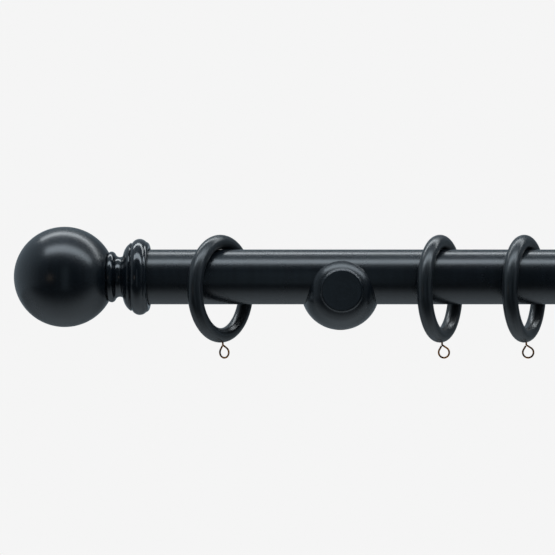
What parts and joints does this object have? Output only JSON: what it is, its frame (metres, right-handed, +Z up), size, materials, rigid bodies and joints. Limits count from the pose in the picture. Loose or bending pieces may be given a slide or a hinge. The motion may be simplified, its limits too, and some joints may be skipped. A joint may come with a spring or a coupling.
{
  "type": "curtain rod with brackets",
  "caption": "Black wooden curtain pole with ball finials, turned cup brackets and loose wooden rings with small metal screw eyes.",
  "frame": {"origin": "on the wall plane, midway between the two brackets' fixing centres", "axes": "+X along the pole, -Y out from the wall into the room, +Z up"},
  "size_m": [1.3556, 0.122, 0.0841],
  "materials": {
    "painted_wood": "satin blue-black lacquer",
    "ring_wood": "satin black lacquer, slightly grainy",
    "gloss_collar": "gloss black lacquer",
    "bronzed_wire": "antique bronze",
    "zinc_steel": "bright zinc plate",
    "black_screw": "black oxide",
    "insert_brass": "plain brass"
  },
  "bodies": {
    "pole_and_brackets": {"curtain_pole": "painted_wood", "left_bracket_body": "painted_wood", "left_wall_plate": "zinc_steel", "left_plate_stud": "zinc_steel", "left_threaded_insert": "insert_brass", "left_pole_screw": "black_screw", "right_bracket_body": "painted_wood", "right_wall_plate": "zinc_steel", "right_plate_stud": "zinc_steel", "right_threaded_insert": "insert_brass", "right_pole_screw": "black_screw"},
    "left_finial": {"left_finial_ball": "painted_wood", "left_finial_collar": "gloss_collar", "left_finial_screw": "zinc_steel"},
    "right_finial": {"right_finial_ball": "painted_wood", "right_finial_collar": "gloss_collar", "right_finial_screw": "zinc_steel"},
    "ring_01": {"ring_01": "ring_wood"},
    "screw_eye_01": {"screw_eye_01": "bronzed_wire"},
    "ring_02": {"ring_02": "ring_wood"},
    "screw_eye_02": {"screw_eye_02": "bronzed_wire"},
    "ring_03": {"ring_03": "ring_wood"},
    "screw_eye_03": {"screw_eye_03": "bronzed_wire"},
    "ring_04": {"ring_04": "ring_wood"},
    "screw_eye_04": {"screw_eye_04": "bronzed_wire"},
    "ring_05": {"ring_05": "ring_wood"},
    "screw_eye_05": {"screw_eye_05": "bronzed_wire"},
    "ring_06": {"ring_06": "ring_wood"},
    "screw_eye_06": {"screw_eye_06": "bronzed_wire"},
    "ring_07": {"ring_07": "ring_wood"},
    "screw_eye_07": {"screw_eye_07": "bronzed_wire"},
    "ring_08": {"ring_08": "ring_wood"},
    "screw_eye_08": {"screw_eye_08": "bronzed_wire"},
    "ring_09": {"ring_09": "ring_wood"},
    "screw_eye_09": {"screw_eye_09": "bronzed_wire"},
    "ring_10": {"ring_10": "ring_wood"},
    "screw_eye_10": {"screw_eye_10": "bronzed_wire"},
    "ring_11": {"ring_11": "ring_wood"},
    "screw_eye_11": {"screw_eye_11": "bronzed_wire"},
    "ring_12": {"ring_12": "ring_wood"},
    "screw_eye_12": {"screw_eye_12": "bronzed_wire"}
  },
  "joints": [
    {"name": "left_finial_unscrew", "type": "hinge", "parent": "pole_and_brackets", "child": "left_finial", "pos_m": [-0.6, -0.09, 0.0088], "axis": [1, 0, 0], "continuous": true},
    {"name": "right_finial_unscrew", "type": "hinge", "parent": "pole_and_brackets", "child": "right_finial", "pos_m": [0.6, -0.09, 0.0088], "axis": [1, 0, 0], "continuous": true},
    {"name": "ring_01_slide", "type": "slide", "parent": "pole_and_brackets", "child": "ring_01", "axis": [1, 0, 0], "range_m": [-0.0265, 0.034]},
    {"name": "screw_eye_01_turn", "type": "hinge", "parent": "ring_01", "child": "screw_eye_01", "pos_m": [-0.5451, -0.09, -0.0325], "axis": [0, 0, 1], "continuous": true},
    {"name": "ring_02_slide", "type": "slide", "parent": "pole_and_brackets", "child": "ring_02", "axis": [1, 0, 0], "range_m": [-0.0315, 0.0395]},
    {"name": "screw_eye_02_turn", "type": "hinge", "parent": "ring_02", "child": "screw_eye_02", "pos_m": [-0.4052, -0.09, -0.0325], "axis": [0, 0, 1], "continuous": true},
    {"name": "ring_03_slide", "type": "slide", "parent": "pole_and_brackets", "child": "ring_03", "axis": [1, 0, 0], "range_m": [-0.0395, 0.0395]},
    {"name": "screw_eye_03_turn", "type": "hinge", "parent": "ring_03", "child": "screw_eye_03", "pos_m": [-0.3515, -0.09, -0.0325], "axis": [0, 0, 1], "continuous": true},
    {"name": "ring_04_slide", "type": "slide", "parent": "pole_and_brackets", "child": "ring_04", "axis": [1, 0, 0], "range_m": [-0.0395, 0.0395]},
    {"name": "screw_eye_04_turn", "type": "hinge", "parent": "ring_04", "child": "screw_eye_04", "pos_m": [-0.2978, -0.09, -0.0325], "axis": [0, 0, 1], "continuous": true},
    {"name": "ring_05_slide", "type": "slide", "parent": "pole_and_brackets", "child": "ring_05", "axis": [1, 0, 0], "range_m": [-0.0395, 0.0395]},
    {"name": "screw_eye_05_turn", "type": "hinge", "parent": "ring_05", "child": "screw_eye_05", "pos_m": [-0.2441, -0.09, -0.0325], "axis": [0, 0, 1], "continuous": true},
    {"name": "ring_06_slide", "type": "slide", "parent": "pole_and_brackets", "child": "ring_06", "axis": [1, 0, 0], "range_m": [-0.0395, 0.3455]},
    {"name": "screw_eye_06_turn", "type": "hinge", "parent": "ring_06", "child": "screw_eye_06", "pos_m": [-0.1904, -0.09, -0.0325], "axis": [0, 0, 1], "continuous": true},
    {"name": "ring_07_slide", "type": "slide", "parent": "pole_and_brackets", "child": "ring_07", "axis": [1, 0, 0], "range_m": [-0.3455, 0.0395]},
    {"name": "screw_eye_07_turn", "type": "hinge", "parent": "ring_07", "child": "screw_eye_07", "pos_m": [0.1904, -0.09, -0.0325], "axis": [0, 0, 1], "continuous": true},
    {"name": "ring_08_slide", "type": "slide", "parent": "pole_and_brackets", "child": "ring_08", "axis": [1, 0, 0], "range_m": [-0.0395, 0.0395]},
    {"name": "screw_eye_08_turn", "type": "hinge", "parent": "ring_08", "child": "screw_eye_08", "pos_m": [0.2441, -0.09, -0.0325], "axis": [0, 0, 1], "continuous": true},
    {"name": "ring_09_slide", "type": "slide", "parent": "pole_and_brackets", "child": "ring_09", "axis": [1, 0, 0], "range_m": [-0.0395, 0.0395]},
    {"name": "screw_eye_09_turn", "type": "hinge", "parent": "ring_09", "child": "screw_eye_09", "pos_m": [0.2978, -0.09, -0.0325], "axis": [0, 0, 1], "continuous": true},
    {"name": "ring_10_slide", "type": "slide", "parent": "pole_and_brackets", "child": "ring_10", "axis": [1, 0, 0], "range_m": [-0.0395, 0.0395]},
    {"name": "screw_eye_10_turn", "type": "hinge", "parent": "ring_10", "child": "screw_eye_10", "pos_m": [0.3515, -0.09, -0.0325], "axis": [0, 0, 1], "continuous": true},
    {"name": "ring_11_slide", "type": "slide", "parent": "pole_and_brackets", "child": "ring_11", "axis": [1, 0, 0], "range_m": [-0.0395, 0.0315]},
    {"name": "screw_eye_11_turn", "type": "hinge", "parent": "ring_11", "child": "screw_eye_11", "pos_m": [0.4052, -0.09, -0.0325], "axis": [0, 0, 1], "continuous": true},
    {"name": "ring_12_slide", "type": "slide", "parent": "pole_and_brackets", "child": "ring_12", "axis": [1, 0, 0], "range_m": [-0.034, 0.0265]},
    {"name": "screw_eye_12_turn", "type": "hinge", "parent": "ring_12", "child": "screw_eye_12", "pos_m": [0.5451, -0.09, -0.0325], "axis": [0, 0, 1], "continuous": true}
  ]
}
